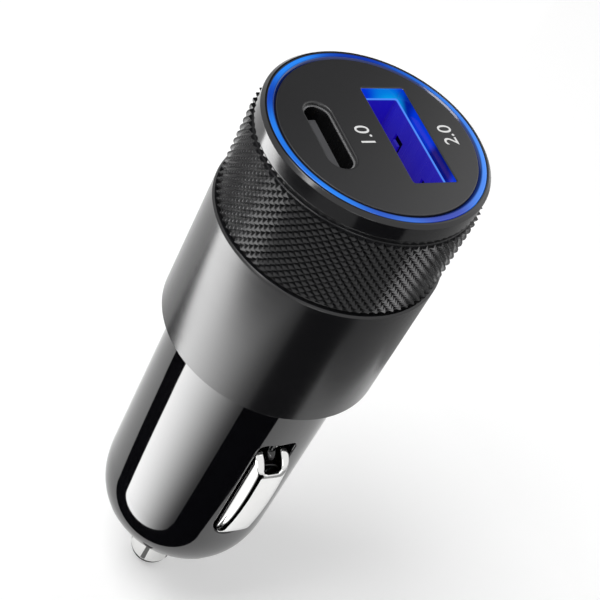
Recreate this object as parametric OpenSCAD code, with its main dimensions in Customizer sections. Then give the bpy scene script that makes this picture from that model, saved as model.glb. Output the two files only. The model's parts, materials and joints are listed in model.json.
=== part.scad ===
// Car charger plug for a 12 V lighter socket, with one flat port and one small oval port.
// The axis of the plug is Z. The shoulder that stops on the socket is at z = 0, the head
// points up and the nose points down. The flat port is at +X, the oval port at -X.

/* [Plug] */
// Diameter of the plug body just under the shoulder
barrel_d = 20.8; // [20.6:0.05:21]
// Length of the plug body from the shoulder to the end of the nose boss
barrel_len = 38.2; // [38:0.2:42]
// Length of the straight land under the shoulder, before the moulding draft starts
land_len = 7.4; // [6:0.1:7.4]
// Loss of diameter by moulding draft down to the start of the nose
barrel_draft = 0.2; // [0.1:0.05:0.4]
// Wall of the plug body
barrel_wall = 1.3; // [1.2:0.05:1.4]
// Length of the rounded nose
nose_len = 10.5; // [10:0.1:11]
// Fullness of the nose curve, where 2 is an ellipse
nose_power = 3.2; // [2.8:0.1:3.6]
// Diameter of the boss round the tip
boss_d = 8.6; // [8.4:0.1:9]
// Height of the boss round the tip
boss_len = 1.2; // [0.8:0.1:1.6]

/* [Head] */
// Length of the head from the shoulder to the face
head_len = 29.6; // [29:0.2:33]
// Width of the shoulder that stops on the socket
shoulder_w = 2.2; // [2.1:0.05:2.6]
// Height of the smooth band
band_h = 17.1; // [15:0.1:17.4]
// Depth of the knurl's points below the smooth band
knurl_sink = 0.15; // [0.1:0.01:0.2]
// Height of one diamond of the knurl
knurl_pitch = 0.94; // [0.9:0.01:1]
// Rows of whole diamonds in the knurl
knurl_rows = 10; // [8:1:10]
// Diamonds round the knurl
knurl_count = 80; // [64:2:84]
// Depth of the knurl from point to valley
knurl_depth = 0.42; // [0.3:0.02:0.5]
// Width of the turned grooves above and below the knurl
groove_w = 0.45; // [0.3:0.05:0.5]
// Depth of the turned grooves below the smooth band
groove_depth = 0.7; // [0.65:0.01:0.75]
// Depth of the collar's side below the smooth band
collar_sink = 0.57; // [0.5:0.01:0.6]
// Chamfer on the collar's top edge
rim_chamfer = 0.35; // [0.2:0.05:0.4]
// Chamfer on the edges of the smooth band
band_chamfer = 0.2; // [0.1:0.05:0.3]
// Wall of the head sleeve at the smooth band
sleeve_wall = 1.15; // [1.1:0.01:1.2]
// Thickness of the lip that the head sleeve turns in at the shoulder
lip_t = 1.2; // [1:0.1:1.6]

/* [Face] */
// Thickness of the face plate
face_t = 1.4; // [1.2:0.1:1.8]
// Wall of the skirt under the face plate
skirt_t = 0.9; // [0.7:0.1:1]
// Width of the light ring round the face plate
ring_w = 0.8; // [0.7:0.05:0.9]
// Thickness of the foot that gathers the light
foot_t = 1; // [0.8:0.1:1.4]
// Width of the foot that gathers the light
foot_w = 2.1; // [1.9:0.1:2.2]
// Depth of the recess in the ring's top edge
ring_bevel = 0.25; // [0.15:0.05:0.4]

/* [Flat port] */
// Gap between the flat port's corners and the skirt
port_a_side = 0.94; // [0.9:0.02:1]
// Clear width inside the flat port's shell
port_a_in_w = 4.8; // [4.7:0.05:5]
// Clear length inside the flat port's shell
port_a_in_l = 12.6; // [12.5:0.05:12.8]
// Thickness of the flat port's tongue
port_a_tongue_t = 1.84; // [1.7:0.02:1.9]
// Gap between each end of the flat port's tongue and the shell
port_a_tongue_side = 0.75; // [0.6:0.05:0.9]
// Gap behind the flat port's tongue
port_a_tongue_gap = 0.55; // [0.5:0.05:0.7]
// Depth of the end of the flat port's tongue below the mouth of its shell
port_a_tongue_sink = 1.6; // [1.2:0.1:2]
// Distance between the middle two contacts of the flat port
port_a_pitch_in = 2; // [1.8:0.1:2.2]
// Distance between an outer contact and the next
port_a_pitch_out = 2.5; // [2.3:0.1:2.6]

/* [Oval port] */
// Place of the oval port between the flat port's side (0) and the skirt (1)
port_c_place = 0.604; // [0.58:0.002:0.62]
// Clear width inside the oval port's shell
port_c_in_w = 2.7; // [2.6:0.02:2.8]
// Clear length inside the oval port's shell
port_c_in_l = 8.4; // [8.34:0.02:8.5]
// Thickness of the oval port's tongue
port_c_tongue_t = 0.75; // [0.7:0.01:0.8]
// Gap between each end of the oval port's tongue and the shell
port_c_tongue_side = 0.85; // [0.8:0.05:0.95]
// Depth of the end of the oval port's tongue below the mouth of its shell
port_c_tongue_sink = 1; // [0.8:0.1:1.4]
// Margin between the last contact of the oval port and the end of its tongue
port_c_margin = 0.7; // [0.6:0.05:0.8]
// Thickness of the face plate's lip over the edge of the oval port's shell
port_c_lip = 0.35; // [0.3:0.05:0.6]

/* [Both ports] */
// Height of the flat port's shell above the port board
port_h = 13.1; // [12.5:0.1:13.4]
// Sheet thickness of the port shells
shell_t = 0.3; // [0.25:0.01:0.32]
// Metal edge of each port's shell that shows inside its opening in the face
port_reveal = 0.15; // [0.1:0.01:0.2]
// Height of the moulded block at the foot of each port
port_block_h = 3.6; // [3:0.1:4]
// Thickness of the port contacts
port_contact_t = 0.15; // [0.1:0.01:0.2]

/* [Tip contact] */
// Diameter of the tip contact
tip_d = 5.4; // [5:0.1:5.6]
// Length of the tip contact that stands out of the boss
tip_out = 8.8; // [7:0.1:9]
// Travel of the tip contact
tip_travel = 2.5; // [2:0.1:3]
// Diameter of the flange that keeps the tip contact in
tip_flange_d = 7.6; // [7.4:0.1:7.7]
// Thickness of the flange that keeps the tip contact in
tip_flange_t = 1; // [0.8:0.1:1.2]
// Length of the tip spring at rest
tip_spring_len = 6; // [5.8:0.1:6.4]
// Mean diameter of the tip spring
tip_spring_d = 6; // [5.6:0.1:6.4]
// Turns of the tip spring
tip_spring_turns = 5; // [4:1:5]
// Wall of the tube that guides the tip contact
guide_wall = 0.8; // [0.6:0.1:1]

/* [Side contacts] */
// Travel of a side contact
contact_travel = 1.75; // [1.7:0.05:1.8]
// Depth of its crest below the body's surface when it is pressed in
contact_sink = 0.1; // [0.05:0.05:0.15]
// Width of a side contact
contact_w = 4.2; // [4:0.1:4.4]
// Sheet thickness of a side contact
contact_t = 0.4; // [0.35:0.05:0.5]
// Distance from the shoulder to the head end of a side contact
contact_z = 9.8; // [9.6:0.1:10.2]
// Length of a side contact
contact_len = 15.7; // [15:0.1:15.8]
// Radius of the rounded ends of a side contact, seen from the side
contact_end_r = 2.5; // [2.3:0.1:2.6]
// Rounding between the crest and the flanks of a side contact
contact_edge_r = 0.75; // [0.6:0.05:0.9]
// How much nearer the axis the crest lies at its nose end
contact_taper = 0.3; // [0.2:0.05:0.4]
// Depth of the notch in the head end of a side contact
notch_depth = 1.9; // [1.8:0.05:2.2]
// Width of the notch in the head end of a side contact
notch_w = 2.2; // [2.1:0.05:2.4]
// Sideways reach of the feet that keep a side contact in
contact_foot_w = 1.1; // [0.9:0.05:1.2]
// Mean diameter of a side spring
side_spring_d = 2.6; // [2.4:0.05:2.8]
// Turns of a side spring
side_spring_turns = 8; // [6:1:9]
// Length of the window for a side contact
window_len = 17.9; // [17.8:0.05:18.2]
// Width of the stop tongue in each window
stop_w = 1.1; // [1:0.05:1.2]
// Length of the stop tongue in each window
stop_len = 3.3; // [3.1:0.05:3.4]
// Depth of the stop tongue's dome below the body's surface
stop_sink = 0.05; // [0.05:0.05:0.2]

/* [Boards] */
// Thickness of the port board
port_board_t = 1.2; // [1:0.1:1.4]
// Thickness of the main board
main_board_t = 1; // [0.8:0.1:1.2]
// Gap between the main board's edges and the plug body
main_board_side = 0.6; // [0.5:0.05:0.8]
// Gap between the two can capacitors and the plug body
can_side = 1.67; // [1.6:0.01:1.8]
// Length of the two can capacitors
can_len = 10.5; // [9.5:0.5:10.5]
// Diameter of the inductor
inductor_d = 7.8; // [7:0.1:8]
// Height of the inductor
inductor_h = 5; // [4.5:0.1:5.2]
// Height of the light chips under the ring
led_h = 0.8; // [0.6:0.05:1]
// Number of light chips under the ring
led_count = 6; // [4:1:6]

/* [Clearances] */
// Radial clearance between parts pushed together
push_gap = 0.05; // [0.04:0.01:0.06]
// Gap between parts stacked on each other
stack_gap = 0.05; // [0.04:0.01:0.08]
// Radial clearance round the tip contact in its hole
tip_gap = 0.15; // [0.12:0.01:0.2]
// Gap all round a side contact in its window
window_gap = 0.25; // [0.2:0.01:0.3]

/* [Hidden] */
$fn = 96;

barrel_r = barrel_d / 2;
barrel_in_r = barrel_r - barrel_wall;
band_r = barrel_r + shoulder_w;
bore_r = band_r - sleeve_wall;
collar_out_r = bore_r - push_gap;
lip_r = barrel_r + 2 * push_gap;
root_flare = push_gap;
cut = 1;
flat_left = 0.01;

// Heights of the stack inside the head, from the face down
face_z = head_len;
plate_z = face_z - face_t;
mouth_z = plate_z - stack_gap;
mouth_c_z = face_z - port_c_lip - stack_gap;
board_z = mouth_z - port_h;
foot_z = board_z + led_h + stack_gap;
skirt_z = foot_z + foot_t + stack_gap;
collar_z = lip_t + stack_gap;
collar_top = foot_z - stack_gap;

// Radii inside the head
seat_wall = 0.65;
ledge_w = 0.7;
cone_half = 1;
ring_out_r = bore_r - push_gap;
ring_in_r = ring_out_r - ring_w;
face_r = ring_in_r - push_gap;
skirt_in_r = face_r - skirt_t;
port_board_r = collar_out_r - seat_wall - push_gap;
collar_in_r = port_board_r - ledge_w;

// Knurl
knurl_z = band_h + groove_w;
knurl_h = knurl_rows * knurl_pitch;
collar_low_z = knurl_z + knurl_h + groove_w;

// Nose
nose_z = -(barrel_len - nose_len - boss_len);
nose_r = barrel_r - barrel_draft / 2;
boss_r = boss_d / 2;
nose_end_u = pow(1 - pow(boss_r / nose_r, 2), 1 / nose_power);
nose_span = nose_len / nose_end_u;
nose_steps = 28;

// Tip contact and what carries it
pocket_rise = 0.4;
cavity_rise = 1.2;
guide_over = 0.9;
tip_r = tip_d / 2;
tip_hole_r = tip_r + tip_gap;
pocket_r = tip_flange_d / 2 + tip_gap;
pocket_z = -barrel_len + boss_len + pocket_rise;
guide_r = pocket_r + guide_wall;
flange_z = pocket_z + stack_gap;
spring_z = flange_z + tip_flange_t + stack_gap;
tip_wire = 0.6;
terminal_z = spring_z + tip_spring_len + stack_gap;
terminal_t = 0.4;
terminal_r = 3.7;
terminal_leg_w = 3;
terminal_leg_h = 2.6;
guide_top_z = spring_z + tip_travel + guide_over;
main_board_z = terminal_z + terminal_t + stack_gap;
main_board_top = board_z - port_board_t - stack_gap;
main_board_w = 2 * (barrel_in_r - main_board_side);
board_end_w = 8;
board_taper = 3.5;
cavity_z = -barrel_len + boss_len + cavity_rise;

// Side contacts
contact_x = contact_w / 2;
contact_reach = barrel_r + contact_travel - contact_sink;
contact_foot_x = contact_x + contact_foot_w;
contact_mid_r = contact_reach - contact_end_r;
contact_foot_z = -(contact_z + contact_len - contact_end_r);
contact_head_z = -(contact_z + contact_end_r);
contact_tilt = atan(contact_taper / (contact_head_z - contact_foot_z));
contact_run = sqrt(pow(contact_taper, 2) + pow(contact_head_z - contact_foot_z, 2));
contact_base = sqrt(pow(barrel_in_r, 2) - pow(contact_foot_x, 2)) - contact_t - window_gap;
contact_mid_z = -(contact_z + contact_len / 2);
contact_inner_r = 0.45;
contact_low_flat = 0.05;
contact_top_r = 0.5;
notch_r = 0.5;
notch_over = 3;
foot_inset = 1.2;
window_w = contact_w + 2 * window_gap;
window_low_z = -(contact_z + contact_len + window_gap);
window_top_z = window_low_z + window_len;
window_corner_r = 1;
window_round_r = window_w / 2 - contact_low_flat;
stop_bulge = 0.1;
stop_root = 0.6;
stop_r = stop_w / 2 + stop_bulge;
stop_tip_z = window_top_z - stop_len + stop_w / 2;
side_wire = 0.35;
side_spring_start = main_board_t / 2 + stack_gap;
side_spring_end = contact_reach - contact_t - contact_taper / 2 - 2 * stack_gap;

// Ports
port_a_out = [port_a_in_w + 2 * shell_t, port_a_in_l + 2 * shell_t];
port_c_out = [port_c_in_w + 2 * shell_t, port_c_in_l + 2 * shell_t];
port_a_open = [port_a_in_w + 2 * port_reveal, port_a_in_l + 2 * port_reveal];
port_c_open = [port_c_in_w + 2 * port_reveal, port_c_in_l + 2 * port_reveal];
port_a_x = sqrt(pow(skirt_in_r, 2) - pow(port_a_out[1] / 2, 2)) - port_a_out[0] / 2 - port_a_side;
port_a_inner_x = port_a_x - port_a_out[0] / 2;
port_c_x = port_c_place * (skirt_in_r + port_a_inner_x) - port_a_inner_x;
shell_bend_r = 0.5;
port_corner_r = 0.25;
strip_root = 1;
strip_short = 1;
port_a_tongue_l = port_a_in_l - 2 * port_a_tongue_side;
port_c_tongue_l = port_c_in_l - 2 * port_c_tongue_side;
tongue_a_x = port_a_x - port_a_in_w / 2 + port_a_tongue_gap;
contact_a_w = 1;
contact_c_w = 0.3;
contact_c_count = 6;
port_c_pitch = (port_c_tongue_l - contact_c_w - 2 * port_c_margin) / (contact_c_count - 1);

// What stands on the main board
smd_gap = 0.02;
pin_r = 0.3;
pin_edge = 0.7;
pin_pitch = 0.8;
pin_out_x = main_board_w / 2 - pin_edge;
pin_x = [-pin_out_x, pin_pitch - pin_out_x, 0, pin_out_x - pin_pitch, pin_out_x];
pin_y = -(main_board_t / 2 + pin_r + smd_gap);
pin_len = 4.2;
can_gap = 0.5;
can_corner = norm([can_gap, main_board_t / 2 + smd_gap]);
can_r = (collar_in_r - can_side - can_corner) / (1 + sqrt(2));
can_x = can_r + can_gap;
board_h = main_board_top - main_board_z;
chip_x = 3.6;
chip_share = 0.6;
chip_z = main_board_z + chip_share * board_h;
chip_w = 3.9;
chip_t = 1.4;
chip_l = 4.9;
lead_out = 1.1;
lead_t = 0.3;
lead_w = 0.4;
lead_pitch = 1.27;
lead_root = 0.2;
stand_off = 0.1;
foot_parts_side = 0.3;
foot_parts_rise = 2.4;
foot_parts_x = terminal_leg_w / 2 + foot_parts_side;
foot_parts_z = main_board_z + foot_parts_rise;
diode_w = 4.4;
diode_t = 2.2;
diode_l = 2.6;
fuse_w = 4.6;
fuse_t = 2;
fuse_l = 2.2;
fuse_cap = 1.1;
fuse_step = 0.1;
small_w = 1.25;
small_t = 0.8;
small_l = 2;
small_edge = 1.3;
small_first = 0.16;
small_pitch = 0.075;
small_count = 4;

// Points of the nose curve for an outside radius and a length along the axis
function nose_curve(radius, span, last_u) = [for (i = [0:nose_steps])
    let (u = last_u * sin(90 * i / nose_steps))
    [radius * sqrt(1 - pow(u, nose_power)), nose_z - span * u]];

// A rectangle with round corners, centred on the origin
module rounded_rect(w, l, r) {
    square([w - 2 * r, l], center = true);
    square([w, l - 2 * r], center = true);
    for (x = [-1, 1], y = [-1, 1])
        translate([x * (w / 2 - r), y * (l / 2 - r)])
            circle(r);
}

// A slot from low to top along Y, with its own corner radius at each end
module slot(w, low, top, low_r, top_r) {
    translate([-w / 2, low + low_r])
        square([w, top - top_r - low - low_r]);
    translate([-w / 2 + low_r, low])
        square([w - 2 * low_r, low_r + top_r]);
    translate([-w / 2 + top_r, top - top_r - low_r])
        square([w - 2 * top_r, low_r + top_r]);
    for (x = [-1, 1]) {
        translate([x * (w / 2 - low_r), low + low_r])
            circle(low_r);
        translate([x * (w / 2 - top_r), top - top_r])
            circle(top_r);
    }
}

// A round wire coiled along Z from z = 0 to the given length, with closed ends
module coil(mean_d, wire, length, turns) {
    sides = 6;
    steps = 14 * (turns + 2);
    lift = length - 3 * wire;
    function rise(t) = wire / 2
        + (t < 1 ? wire * t : t > turns + 1 ? lift + wire + wire * (t - turns - 1)
        : wire + lift * (t - 1) / turns);
    points = [for (i = [0:steps], k = [0:sides - 1])
        let (t = i / steps * (turns + 2), a = 360 * t, b = 360 * k / sides)
        let (r = mean_d / 2 + wire / 2 * cos(b))
        [r * cos(a), r * sin(a), rise(t) + wire / 2 * sin(b)]];
    walls = [for (i = [0:steps - 1], k = [0:sides - 1])
        let (n = (k + 1) % sides)
        [i * sides + k, (i + 1) * sides + k, (i + 1) * sides + n, i * sides + n]];
    ends = [[for (k = [0:sides - 1]) k], [for (k = [sides - 1:-1:0]) steps * sides + k]];
    polyhedron(points, concat(walls, ends), convexity = 10);
}

// A ring whose outside is a field of pyramids, each with its point at the knurl's diameter
module knurled_ring(inner_r) {
    around = 2 * knurl_count;
    levels = 2 * knurl_rows;
    top_r = band_r - knurl_sink;
    skin = [for (j = [0:levels], i = [0:around - 1])
        let (a = 360 * i / around, r = (i + j) % 2 == 0 ? top_r - knurl_depth : top_r)
        [r * cos(a), r * sin(a), j * knurl_h / levels]];
    inside = [for (j = [0, 1], i = [0:around - 1])
        let (a = 360 * i / around)
        [inner_r * cos(a), inner_r * sin(a), j * knurl_h]];
    base = len(skin);
    faces = [for (j = [0:levels - 1], i = [0:around - 1])
        let (n = (i + 1) % around, a = j * around + i, b = j * around + n)
        let (c = b + around, d = a + around)
        each ((i + j) % 2 == 0 ? [[a, c, b], [a, d, c]] : [[a, d, b], [b, d, c]])];
    rims = [for (i = [0:around - 1])
        let (n = (i + 1) % around, top = levels * around)
        each [[i, n, base + n, base + i],
            [top + n, top + i, base + around + i, base + around + n],
            [base + i, base + n, base + around + n, base + around + i]]];
    polyhedron(concat(skin, inside), concat(faces, rims), convexity = 10);
}

// The turned metal shell of the head, with its knurl
module head_sleeve() {
    groove_r = band_r - groove_depth;
    outer_r = band_r - collar_sink;
    color("#1b1c1e") {
        rotate_extrude()
            polygon([[lip_r, 0], [band_r - band_chamfer, 0], [band_r, band_chamfer],
                [band_r, band_h - band_chamfer], [band_r - band_chamfer, band_h],
                [groove_r, band_h], [groove_r, collar_low_z],
                [outer_r - band_chamfer, collar_low_z], [outer_r, collar_low_z + band_chamfer],
                [outer_r, face_z - rim_chamfer], [outer_r - rim_chamfer, face_z],
                [bore_r, face_z], [bore_r, lip_t], [lip_r, lip_t]]);
        translate([0, 0, knurl_z])
            knurled_ring((bore_r + groove_r) / 2);
    }
}

// The clear ring that carries light from the chips to the face
module light_ring() {
    color("#1e7bd8")
        rotate_extrude()
            polygon([[ring_out_r - foot_w, foot_z], [ring_out_r, foot_z], [ring_out_r, face_z],
                [ring_in_r + ring_bevel, face_z], [ring_in_r, face_z - ring_bevel],
                [ring_in_r, foot_z + foot_t], [ring_out_r - foot_w, foot_z + foot_t]]);
}

// The dark face with both openings, and the skirt under it
module face_plate() {
    color("#3a3a3c")
        difference() {
            union() {
                translate([0, 0, plate_z])
                    cylinder(r = face_r, h = face_t);
                difference() {
                    translate([0, 0, skirt_z])
                        cylinder(r = face_r, h = plate_z - skirt_z);
                    translate([0, 0, skirt_z - cut])
                        cylinder(r = skirt_in_r, h = plate_z - skirt_z + cut);
                }
            }
            translate([port_a_x, 0, plate_z - cut])
                linear_extrude(face_t + 2 * cut)
                    rounded_rect(port_a_open[0], port_a_open[1], port_corner_r);
            translate([-port_c_x, 0, plate_z - cut])
                linear_extrude(face_t + 2 * cut)
                    rounded_rect(port_c_open[0], port_c_open[1], port_c_open[0] / 2 - flat_left);
            translate([-port_c_x, 0, plate_z - cut])
                linear_extrude(face_t - port_c_lip + cut)
                    rounded_rect(port_c_out[0] + 2 * push_gap, port_c_out[1] + 2 * push_gap,
                        port_c_out[0] / 2 + push_gap - flat_left);
        }
}

// One window for a side contact, at -Y
module window() {
    translate([0, -contact_base, 0])
        rotate([90, 0, 0])
            linear_extrude(barrel_r)
                slot(window_w, window_low_z, window_top_z, window_round_r, window_corner_r);
}

// The tongue with a domed end that hangs into the head end of a window, at -Y
module window_stop() {
    inner = barrel_in_r - stop_bulge;
    outer = barrel_r - stop_sink - stop_r;
    translate([-stop_w / 2, -outer, stop_tip_z])
        cube([stop_w, outer - inner, window_top_z - stop_tip_z + stop_root]);
    translate([0, -inner, stop_tip_z])
        rotate([90, 0, 0])
            cylinder(r = stop_r, h = outer - inner);
    translate([0, -outer, stop_tip_z])
        sphere(stop_r);
}

// The plated plug body, open at the head and closed round the tip
module barrel_housing() {
    outline = concat([[0, collar_top], [collar_out_r, collar_top], [collar_out_r, collar_z],
        [barrel_r + root_flare, collar_z], [barrel_r, 0], [barrel_r, -land_len]],
        nose_curve(nose_r, nose_span, nose_end_u),
        [[boss_r, -barrel_len], [0, -barrel_len]]);
    cavity_span = (nose_z - cavity_z) / pow(1 - pow(guide_r / barrel_in_r, 2), 1 / nose_power);
    cavity_u = (nose_z - cavity_z) / cavity_span;
    cavity = concat([[0, collar_top + cut], [port_board_r + push_gap, collar_top + cut],
        [port_board_r + push_gap, main_board_top], [collar_in_r, main_board_top],
        [collar_in_r, collar_z + cone_half], [barrel_in_r, collar_z - cone_half]],
        nose_curve(barrel_in_r, cavity_span, cavity_u), [[0, cavity_z]]);
    color("#26272a") {
        difference() {
            union() {
                difference() {
                    rotate_extrude()
                        polygon(outline);
                    rotate_extrude()
                        polygon(cavity);
                }
                translate([0, 0, pocket_z])
                    cylinder(r = guide_r, h = guide_top_z - pocket_z);
            }
            translate([0, 0, -barrel_len - cut])
                cylinder(r = tip_hole_r, h = boss_len + pocket_rise + 2 * cut);
            translate([0, 0, pocket_z])
                cylinder(r = pocket_r, h = guide_top_z - pocket_z + cut);
            for (a = [0, 180])
                rotate([0, 0, a])
                    window();
        }
        for (a = [0, 180])
            rotate([0, 0, a])
                window_stop();
    }
}

// The folded steel shell of the flat port, with two spring tongues in each long wall
module usb_a_shell() {
    slit_w = 1.6;
    slit_h = 5;
    slit_drop = 2.4;
    slit_z = mouth_z - slit_drop - slit_h;
    spring_w = 1;
    spring_y = port_a_in_l / 4;
    spring_drop = 0.1;
    spring_short = 0.5;
    spring_lean = 3;
    color("#c9ccd1")
        translate([port_a_x, 0, 0]) {
            difference() {
                translate([0, 0, board_z + stack_gap])
                    linear_extrude(port_h - stack_gap)
                        rounded_rect(port_a_out[0], port_a_out[1], shell_bend_r);
                translate([0, 0, board_z])
                    linear_extrude(port_h + cut)
                        rounded_rect(port_a_in_w, port_a_in_l, port_corner_r);
                for (y = [-1, 1])
                    translate([-port_a_in_w, y * spring_y - slit_w / 2, slit_z])
                        cube([2 * port_a_in_w, slit_w, slit_h]);
            }
            for (y = [-1, 1], x = [-1, 1])
                translate([x * (port_a_in_w / 2 + shell_t / 2), y * spring_y, slit_z])
                    rotate([0, -x * spring_lean, 0])
                        translate([-shell_t / 2, -spring_w / 2, -spring_drop])
                            cube([shell_t, spring_w, slit_h - spring_short]);
        }
}

// The moulded block and tongue of the flat port
module usb_a_insulator() {
    low = board_z + stack_gap;
    tongue_top = mouth_z - port_a_tongue_sink;
    color("#d98a95")
        difference() {
            union() {
                translate([port_a_x, 0, low])
                    linear_extrude(port_block_h)
                        rounded_rect(port_a_in_w - 2 * push_gap, port_a_in_l - 2 * push_gap, port_corner_r);
                translate([tongue_a_x, -port_a_tongue_l / 2, low])
                    cube([port_a_tongue_t, port_a_tongue_l, tongue_top - low]);
            }
            for (y = usb_a_rows())
                translate([tongue_a_x + port_a_tongue_t - port_contact_t / 2, y - contact_a_w / 2,
                    low + port_block_h - strip_root])
                    cube([port_contact_t, contact_a_w,
                        tongue_top - low - port_block_h + strip_root - strip_short]);
        }
}
function usb_a_rows() = [-port_a_pitch_in / 2 - port_a_pitch_out, -port_a_pitch_in / 2,
    port_a_pitch_in / 2, port_a_pitch_in / 2 + port_a_pitch_out];

// The four gilt strips of the flat port
module usb_a_contacts() {
    low = board_z + stack_gap + port_block_h - strip_root;
    top = mouth_z - port_a_tongue_sink - strip_short;
    color("#d9b45a")
        for (y = usb_a_rows())
            translate([tongue_a_x + port_a_tongue_t - port_contact_t / 2, y - contact_a_w / 2, low])
                cube([port_contact_t, contact_a_w, top - low]);
}

// The drawn steel shell of the oval port
module usb_c_shell() {
    color("#c9ccd1")
        translate([-port_c_x, 0, 0])
            difference() {
                translate([0, 0, board_z + stack_gap])
                    linear_extrude(mouth_c_z - board_z - stack_gap)
                        rounded_rect(port_c_out[0], port_c_out[1], port_c_out[0] / 2 - flat_left);
                translate([0, 0, board_z])
                    linear_extrude(mouth_c_z - board_z + cut)
                        rounded_rect(port_c_in_w, port_c_in_l, port_c_in_w / 2 - flat_left);
            }
}

// The moulded block and tongue of the oval port
module usb_c_insulator() {
    low = board_z + stack_gap;
    block = [port_c_in_w - 2 * push_gap, port_c_in_l - 2 * push_gap];
    color("#2b2b2e")
        translate([-port_c_x, 0, low]) {
            linear_extrude(port_block_h)
                rounded_rect(block[0], block[1], block[0] / 2 - flat_left);
            translate([-port_c_tongue_t / 2, -port_c_tongue_l / 2, 0])
                cube([port_c_tongue_t, port_c_tongue_l, mouth_c_z - port_c_tongue_sink - low]);
        }
}

// The contact strips on both faces of the oval port's tongue
module usb_c_contacts() {
    low = board_z + stack_gap + port_block_h;
    top = mouth_c_z - port_c_tongue_sink - strip_short;
    strip_t = port_contact_t / 2;
    color("#d9b45a")
        for (side = [-1, 1], i = [0:contact_c_count - 1])
            translate([-port_c_x + side * (port_c_tongue_t + strip_t) / 2,
                (i - (contact_c_count - 1) / 2) * port_c_pitch, (low + top) / 2])
                cube([strip_t, contact_c_w, top - low], center = true);
}

// The round board under the ports
module port_board() {
    color("#1f5a3a")
        translate([0, 0, board_z - port_board_t])
            difference() {
                cylinder(r = port_board_r, h = port_board_t);
                for (x = pin_x)
                    translate([x, pin_y, -cut])
                        cylinder(r = pin_r + push_gap, h = port_board_t + 2 * cut);
            }
}

// The long board down the middle of the plug
module main_board() {
    half = main_board_w / 2;
    color("#1f5a3a")
        translate([0, main_board_t / 2, 0])
            rotate([90, 0, 0])
                linear_extrude(main_board_t)
                    polygon([[-half, main_board_top], [-half, main_board_z + board_taper],
                        [-board_end_w / 2, main_board_z], [board_end_w / 2, main_board_z],
                        [half, main_board_z + board_taper], [half, main_board_top]]);
}

// The pins that join both boards
module board_pins() {
    color("#d9b45a")
        for (x = pin_x)
            translate([x, pin_y, board_z - pin_len])
                cylinder(r = pin_r, h = pin_len, $fn = 24);
}

// The light chips on the port board, under the foot of the ring
module ring_leds() {
    led_w = 0.8;
    led_l = 1.6;
    led_inset = 0.3;
    led_r = ring_out_r - foot_w / 2 - led_inset;
    color("#f3efe0")
        for (i = [0:led_count - 1])
            rotate([0, 0, 360 * (i + 0.5) / led_count])
                translate([led_r - led_w / 2, -led_l / 2, board_z + smd_gap])
                    cube([led_w, led_l, led_h - smd_gap]);
}

// The wound drum inductor, on the board's +Y face
module inductor() {
    r = inductor_d / 2;
    flange = 0.9;
    winding_sink = 0.5;
    drop = 1.5;
    color("#3c3f44")
        translate([0, main_board_t / 2 + smd_gap, main_board_top - r - drop])
            rotate([-90, 0, 0]) {
                cylinder(r = r, h = flange);
                cylinder(r = r - winding_sink, h = inductor_h);
                translate([0, 0, inductor_h - flange])
                    cylinder(r = r, h = flange);
            }
}

// A can capacitor that lies along the board's -Y face, with its crimped bead
module can_capacitor(x) {
    r = can_r;
    drop = 0.8;
    edge = 0.3;
    bead_z = 1.5;
    bead_sink = 0.25;
    translate([x, -(main_board_t / 2 + r + smd_gap), main_board_top - drop - can_len])
        rotate_extrude()
            polygon([[0, 0], [r - edge, 0], [r, edge], [r, bead_z - edge],
                [r - bead_sink, bead_z], [r, bead_z + edge],
                [r, can_len - edge], [r - edge, can_len], [0, can_len]]);
}
module input_capacitor() {
    color("#2d4f86")
        can_capacitor(can_x);
}
module output_capacitor() {
    color("#8d9096")
        can_capacitor(-can_x);
}

// A chip with four gull-wing leads on each side, lying on a board face at side * Y
module leaded_chip(side, x, z) {
    y = side * (main_board_t / 2 + smd_gap);
    translate([x, y + side * (chip_t / 2 + stand_off), z])
        cube([chip_w, chip_t, chip_l], center = true);
    for (k = [-1, 1], i = [-1.5:1:1.5])
        translate([x + k * (chip_w / 2 + lead_out / 2 - lead_root),
            y + side * lead_t / 2, z + i * lead_pitch])
            cube([lead_out, lead_t, lead_w], center = true);
}
module converter_chip() {
    color("#18181a")
        leaded_chip(1, -chip_x, chip_z);
}
module charge_chip() {
    color("#18181a")
        leaded_chip(-1, chip_x, chip_z);
}

// The block-shaped diode on the board's +Y face, beside the terminal's leg
module rectifier_diode() {
    color("#202124")
        translate([foot_parts_x, main_board_t / 2 + smd_gap, foot_parts_z])
            cube([diode_w, diode_t, diode_l]);
}

// The ceramic fuse with metal end caps, on the board's -Y face beside the terminal's leg
module fuse() {
    color("#e6e2d8")
        translate([-foot_parts_x - fuse_w / 2, -(main_board_t / 2 + smd_gap + fuse_t / 2),
            foot_parts_z + fuse_l / 2]) {
            cube([fuse_w - 2 * fuse_cap + 2 * fuse_step, fuse_t - 2 * fuse_step,
                fuse_l - 2 * fuse_step], center = true);
            for (x = [-1, 1])
                translate([x * (fuse_w - fuse_cap) / 2, 0, 0])
                    cube([fuse_cap, fuse_t, fuse_l], center = true);
        }
}

// The small chip resistors and capacitors on both faces of the main board
module board_chips() {
    column_x = main_board_w / 2 - small_edge;
    color("#b58a5a")
        for (side = [-1, 1], x = [-1, 1], i = [0:small_count - 1])
            translate([x * column_x, side * (main_board_t / 2 + smd_gap + small_t / 2),
                main_board_z + (small_first + small_pitch * i) * board_h])
                cube([small_w, small_t, small_l], center = true);
}

// The sprung centre contact, with its domed end down
module tip_contact() {
    dome_z = -barrel_len - tip_out + tip_r;
    color("#d5d8dc") {
        translate([0, 0, dome_z])
            sphere(tip_r);
        translate([0, 0, dome_z])
            cylinder(r = tip_r, h = flange_z + tip_flange_t / 2 - dome_z);
        translate([0, 0, flange_z])
            cylinder(d = tip_flange_d, h = tip_flange_t);
    }
}

module tip_spring() {
    color("#a9adb3")
        translate([0, 0, spring_z])
            coil(tip_spring_d, tip_wire, tip_spring_len, tip_spring_turns);
}

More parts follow.
